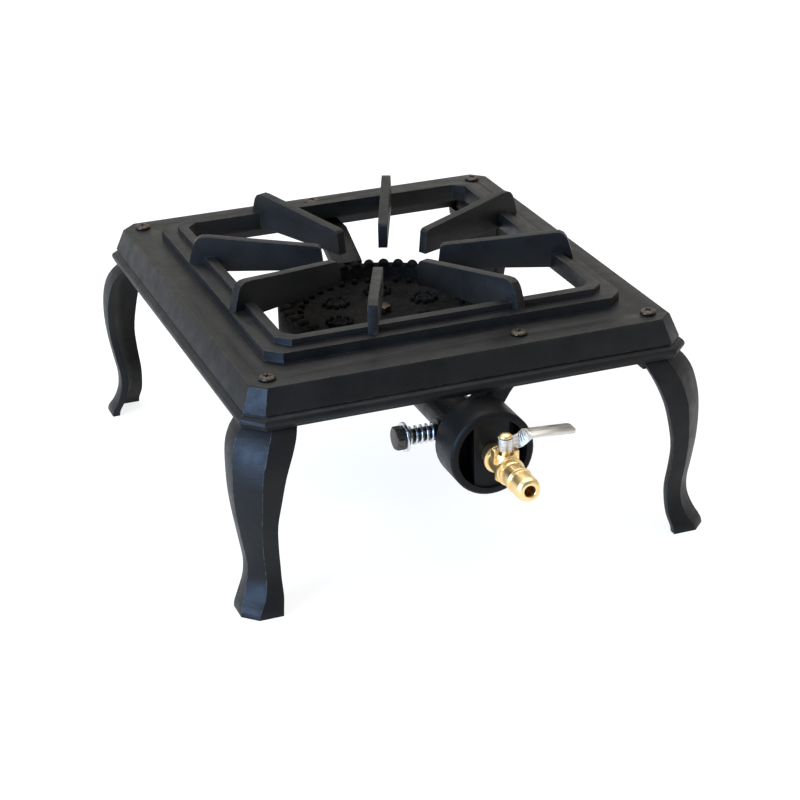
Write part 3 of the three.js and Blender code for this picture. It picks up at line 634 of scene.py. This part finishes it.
def coil_tree():
    """A round wire wound along X from a start point."""
    tree, source, result = new_tree("wound_wire", [
        ("Finish", "NodeSocketMaterial", None),
        ("Turns", "NodeSocketFloat", 5.0),
        ("Radius", "NodeSocketFloat", 0.005),
        ("Length", "NodeSocketFloat", 0.02),
        ("Wire", "NodeSocketFloat", 0.001),
        ("Start", "NodeSocketVector", None),
        ("Wire sides", "NodeSocketInt", 16),
    ])
    nodes, links = tree.nodes, tree.links
    spiral = nodes.new("GeometryNodeCurveSpiral")
    spiral.inputs["Resolution"].default_value = 40
    ring = nodes.new("GeometryNodeCurvePrimitiveCircle")
    sweep = nodes.new("GeometryNodeCurveToMesh")
    sweep.inputs["Fill Caps"].default_value = True
    lay = nodes.new("GeometryNodeTransform")
    lay.inputs["Rotation"].default_value = (0, math.pi / 2, 0)
    smooth = nodes.new("GeometryNodeSetShadeSmooth")
    real = nodes.new("GeometryNodeRealizeInstances")
    coat = nodes.new("GeometryNodeSetMaterial")
    links.new(source.outputs["Turns"], spiral.inputs["Rotations"])
    links.new(source.outputs["Radius"], spiral.inputs["Start Radius"])
    links.new(source.outputs["Radius"], spiral.inputs["End Radius"])
    links.new(source.outputs["Length"], spiral.inputs["Height"])
    links.new(source.outputs["Wire"], ring.inputs["Radius"])
    links.new(source.outputs["Wire sides"], ring.inputs["Resolution"])
    links.new(spiral.outputs["Curve"], sweep.inputs["Curve"])
    links.new(ring.outputs["Curve"], sweep.inputs["Profile Curve"])
    links.new(sweep.outputs["Mesh"], lay.inputs["Geometry"])
    links.new(source.outputs["Start"], lay.inputs["Translation"])
    links.new(lay.outputs["Geometry"], smooth.inputs["Geometry"])
    links.new(smooth.outputs["Geometry"], real.inputs["Geometry"])
    links.new(real.outputs["Geometry"], coat.inputs["Geometry"])
    links.new(source.outputs["Finish"], coat.inputs["Material"])
    links.new(coat.outputs["Geometry"], result.inputs["Geometry"])
    return tree


wound = coil_tree()
spring_low, spring_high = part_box("air_screw_spring")
spring_axis = (spring_low + spring_high) / 2
spring_base = points_object("spring_base", [spring_axis])
run_tree(spring_base, wound, {
    "Finish": bright_zinc,
    "Turns": float(AIR_SPRING_TURNS),
    "Radius": (spring_high.z - spring_low.z) / 2 - AIR_SPRING_WIRE,
    "Length": spring_high.x - spring_low.x - 2 * AIR_SPRING_WIRE,
    "Wire": AIR_SPRING_WIRE,
    "Start": Vector((spring_low.x + AIR_SPRING_WIRE, spring_axis.y, spring_axis.z)),
})
spring = baked(spring_base, "air_spring", "stand", "zinc_steel", "air_screw_spring")
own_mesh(spring)

bolt_head = antique_plate("bolt_head", (0.035, 0.032, 0.026), (0.11, 0.10, 0.08))
air_bolt = finished_copy("air_screw", "air_bolt", 0.0004, [bolt_head], 2, "air_screw")

air_washer = finished_copy(
    "air_screw_washer", "air_washer", 0.00025, [bright_zinc], 2, "washer"
)


# ---------------------------------------------------------------- gas valve
# A brass plug valve: turned barrel with two collars, an upright housing with two stop ears,
# and the plug's peened end above the lever's hub. The jet screws into its inner end.
def turned_brass(name, dark, light):
    """Bright brass with fine turning lines round the barrel and slight tarnish in patches."""
    finish = Finish(name)
    tarnish = finish.noise(110, 4, 0.55)
    finish.wear(finish.ramp(tarnish, dark, light), "Base Color")
    finish.wear(finish.spread(finish.noise(420, 4), 0.29, 0.37), "Roughness")
    lines = finish.nodes.new("ShaderNodeTexWave")
    lines.bands_direction = "Y"
    lines.inputs["Scale"].default_value = 620
    lines.inputs["Distortion"].default_value = 1.5
    finish.links.new(finish.place, lines.inputs["Vector"])
    cut_lines = finish.bump(lines.outputs["Fac"], 0.00001, 0.2)
    finish.wear(finish.bump(finish.noise(900, 3), 0.00001, 0.15, cut_lines), "Normal")
    finish.shader.inputs["Metallic"].default_value = 1.0
    return finish.material


brass = turned_brass("turned_brass", (0.90, 0.62, 0.26), (0.97, 0.74, 0.38))
brass_pieces = [
    ("valve_body", "valve_barrel", 0.0004, "stand"),
    ("valve_plug", "valve_stem", 0.0003, "valve_handle"),
    ("valve_plug_cap", "plug_cap", 0.0002, "stand"),
    ("gas_jet", "gas_injector", 0.0002, "stand"),
]
for node, name, round_over, body in brass_pieces:
    piece = finished_copy(node, name, round_over, [brass], 2, body)


# ---------------------------------------------------------------- hose tail
# The turned nose the gas hose is pushed over: a collar, a long barb, a shallow groove and a
# rounded tip with the gas bore in it.
tail_low, tail_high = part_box("hose_tail")
tail_face = tail_high.y - 0.0017
TAIL_BORE = 0.0033
tail_outline = [
    (0, tail_high.y - 0.002), (TAIL_BORE, tail_high.y - 0.002), (TAIL_BORE, tail_low.y + 0.0006),
    (TAIL_BORE + 0.0005, tail_low.y), (0.0052, tail_low.y), (0.0064, tail_low.y + 0.0009),
    (0.0073, tail_low.y + 0.003), (0.0075, tail_face - 0.018), (0.0069, tail_face - 0.0130),
    (0.0079, tail_face - 0.0124), (0.0079, tail_face - 0.011), (0.0070, tail_face - 0.0026),
    (0.0074, tail_face - 0.002), (0.0074, tail_face), (0.0040, tail_face),
    (0.0040, tail_high.y), (0, tail_high.y),
]
tail_mesh = turned_mesh("hose_barb", tail_outline, 64)
tail_mesh.transform(Matrix.Rotation(-math.pi / 2, 4, "X"))
tail_middle = (tail_low + tail_high) / 2
tail_mesh.transform(Matrix.Translation((tail_middle.x, 0, tail_middle.z)))
tail_mesh.materials.append(brass)
hose_tail = linked(bpy.data.objects.new("hose_barb", tail_mesh))
tail_edges = hose_tail.modifiers.new("rounded_edges", "BEVEL")
tail_edges.width = 0.0004
tail_edges.segments = 3
tail_edges.limit_method = "ANGLE"
tail_edges.angle_limit = math.radians(20)
tail_edges.harden_normals = True
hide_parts("hose_tail")
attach(hose_tail, "stand")


# ---------------------------------------------------------------- valve lever
# Pressed steel strip with a quarter twist, nickel-plated and finely brushed along its length,
# with a round hub that sits on the plug's stem.
nickel = Finish("brushed_nickel")
along = nickel.stretched((0.08, 1, 1))
nickel.wear(
    nickel.ramp(nickel.noise(600, 4, 0.6, along), (0.46, 0.44, 0.40), (0.74, 0.71, 0.66)),
    "Base Color",
)
nickel.wear(nickel.spread(nickel.noise(1400, 3, 0.5, along), 0.28, 0.46), "Roughness")
nickel.wear(nickel.bump(nickel.noise(2600, 3, 0.5, along), 0.00004, 0.5), "Normal")
nickel.shader.inputs["Metallic"].default_value = 1.0
lever = finished_copy(
    "valve_lever", "lever_strip", 0.00045, [nickel.material], 3, "valve_handle"
)
